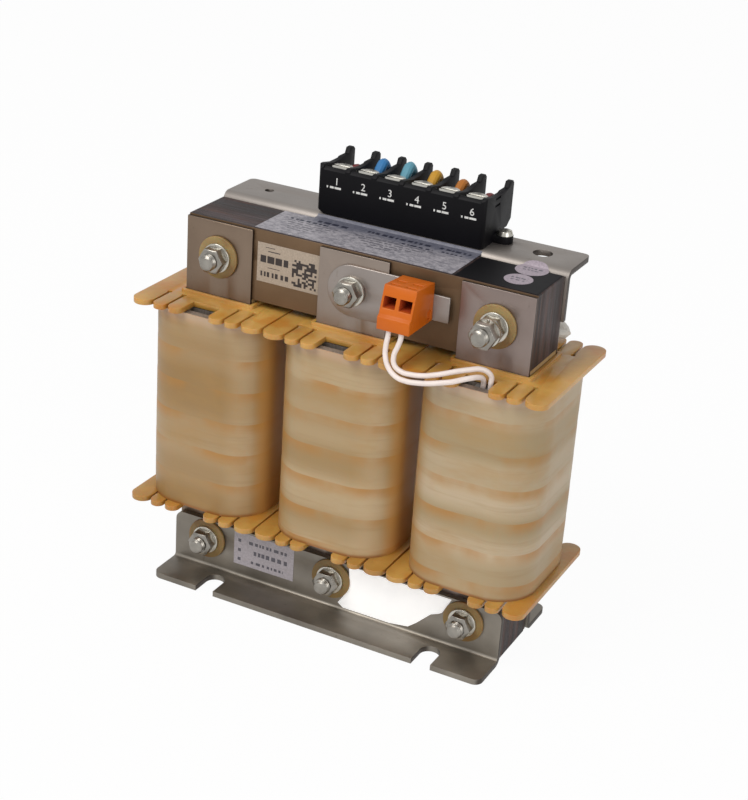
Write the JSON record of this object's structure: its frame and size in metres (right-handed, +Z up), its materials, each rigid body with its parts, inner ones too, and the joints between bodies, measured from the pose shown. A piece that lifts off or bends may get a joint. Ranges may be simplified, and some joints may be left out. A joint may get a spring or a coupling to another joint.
{
  "type": "three-phase reactor",
  "caption": "Three-phase iron-core reactor with comb-edged coil bobbins, foot brackets, a terminal block on top and a small sensor terminal in front.",
  "frame": {"origin": "middle of the four mounting slots, on the plane that the feet stand on", "axes": "+X along the yokes to the right in the picture, +Y towards the terminal block's side, away from the camera, +Z up"},
  "size_m": [0.1492, 0.0676, 0.1499],
  "materials": {
    "varnished_laminations": "satin",
    "pressboard": "matte",
    "strap_steel": "satin",
    "amber_plastic": "gloss",
    "foil_winding": "satin",
    "resin_tape": "satin",
    "switch_case": "satin",
    "galvanised_sheet": "satin",
    "zinc_plated_steel": "satin",
    "sleeve_plastic": "matte",
    "amber_fibre": "satin",
    "black_plastic": "satin",
    "plated_brass": "satin",
    "red_sleeve": "satin",
    "blue_sleeve": "satin",
    "yellow_sleeve": "satin",
    "orange_plastic": "satin",
    "clamp_lacquer": "satin",
    "white_wire": "satin"
  },
  "bodies": {
    "root": {"core_e_stack": "varnished_laminations", "core_i_stack": "varnished_laminations", "gap_spacer_left": "pressboard", "gap_spacer_middle": "pressboard", "gap_spacer_right": "pressboard", "duct_spacers_left": "pressboard", "duct_spacers_middle": "pressboard", "duct_spacers_right": "pressboard", "front_strap_left": "strap_steel", "front_strap_middle": "strap_steel", "front_strap_right": "strap_steel", "rear_strap_left": "strap_steel", "rear_strap_middle": "strap_steel", "rear_strap_right": "strap_steel", "bobbin_left": "amber_plastic", "bobbin_middle": "amber_plastic", "bobbin_right": "amber_plastic", "inner_winding_left": "foil_winding", "inner_winding_middle": "foil_winding", "inner_winding_right": "foil_winding", "outer_winding_left": "foil_winding", "outer_winding_middle": "foil_winding", "outer_winding_right": "foil_winding", "coil_wrap_left": "resin_tape", "coil_wrap_middle": "resin_tape", "coil_wrap_right": "resin_tape", "thermal_switch": "switch_case", "foot_bracket_front": "galvanised_sheet", "foot_bracket_rear": "galvanised_sheet", "terminal_bracket": "galvanised_sheet", "sensor_strip": "galvanised_sheet", "core_bolts": "zinc_plated_steel", "earth_bolt": "zinc_plated_steel", "steel_washers": "zinc_plated_steel", "hex_nuts": "zinc_plated_steel", "spring_washer": "zinc_plated_steel", "block_screws": "zinc_plated_steel", "block_fixings": "zinc_plated_steel", "bolt_sleeves": "sleeve_plastic", "fibre_washers": "amber_fibre", "block_housing": "black_plastic", "block_clamps": "plated_brass", "lead_1": "red_sleeve", "lead_6": "red_sleeve", "lead_2": "blue_sleeve", "lead_3": "blue_sleeve", "lead_4": "yellow_sleeve", "lead_5": "yellow_sleeve", "sensor_housing": "orange_plastic", "sensor_clamps": "clamp_lacquer", "sensor_wire_a": "white_wire", "sensor_wire_b": "white_wire"}
  },
  "joints": []
}
